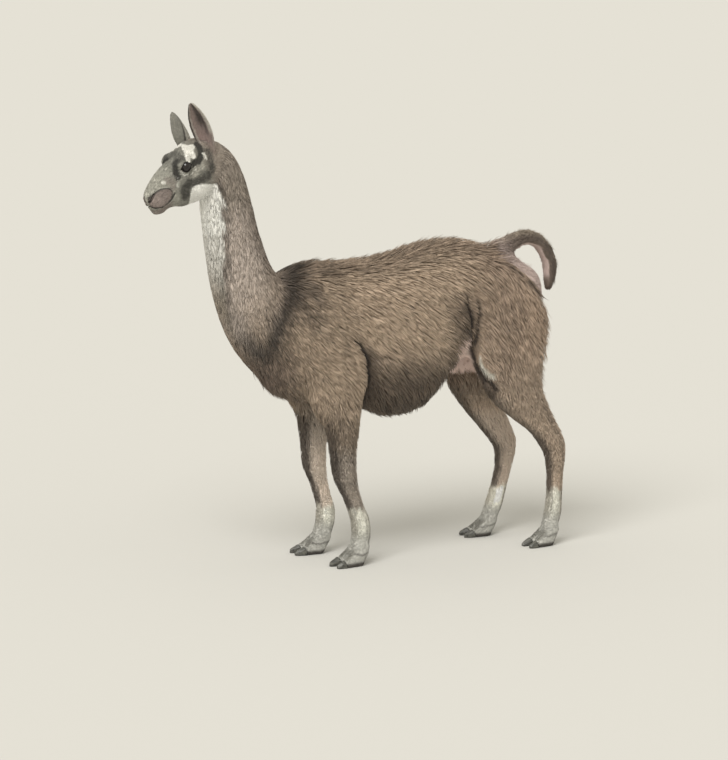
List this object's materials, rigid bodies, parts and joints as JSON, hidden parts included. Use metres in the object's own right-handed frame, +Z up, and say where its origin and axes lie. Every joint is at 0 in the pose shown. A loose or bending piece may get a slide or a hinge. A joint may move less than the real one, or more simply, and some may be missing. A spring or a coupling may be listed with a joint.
{
  "type": "llama",
  "caption": "Standing llama, life size, as a still museum model with its head up and turned and its tail carried in an arch.",
  "frame": {"origin": "on the floor, at the middle of the animal's outline seen from above", "axes": "+Z up, the animal faces -Y, and its left side is +X"},
  "size_m": [0.4146, 1.752, 1.8141],
  "materials": {
    "trunk_fleece": "brown shorn-length fleece, darker along the belly",
    "neck_fleece": "grey-brown fleece with a white throat stripe",
    "face_coat": "short grey coat with pale and dark markings",
    "ear_coat": "short coat outside, bare pinkish skin inside",
    "eye_gloss": "polished dark brown",
    "tail_fleece": "dark bushy tail with a lighter fringe",
    "leg_coat": "short brown coat with dark front edges",
    "shank_coat": "short pale coat",
    "foot_pad": "pale hairy foot above a leathery sole",
    "nail_horn": "dark grey horn"
  },
  "bodies": {
    "root": {"trunk": "trunk_fleece", "neck": "neck_fleece", "head": "face_coat", "ear_left": "ear_coat", "eye_left": "eye_gloss", "ear_right": "ear_coat", "eye_right": "eye_gloss", "tail_base": "tail_fleece", "tail_tip": "tail_fleece", "foreleg_left_upper": "leg_coat", "foreleg_left_lower": "shank_coat", "foreleg_left_foot": "foot_pad", "nail_fore_left_outer": "nail_horn", "nail_fore_left_inner": "nail_horn", "foreleg_right_upper": "leg_coat", "foreleg_right_lower": "shank_coat", "foreleg_right_foot": "foot_pad", "nail_fore_right_outer": "nail_horn", "nail_fore_right_inner": "nail_horn", "hindleg_left_upper": "leg_coat", "hindleg_left_lower": "shank_coat", "hindleg_left_foot": "foot_pad", "nail_hind_left_outer": "nail_horn", "nail_hind_left_inner": "nail_horn", "hindleg_right_upper": "leg_coat", "hindleg_right_lower": "shank_coat", "hindleg_right_foot": "foot_pad", "nail_hind_right_outer": "nail_horn", "nail_hind_right_inner": "nail_horn"}
  },
  "joints": []
}
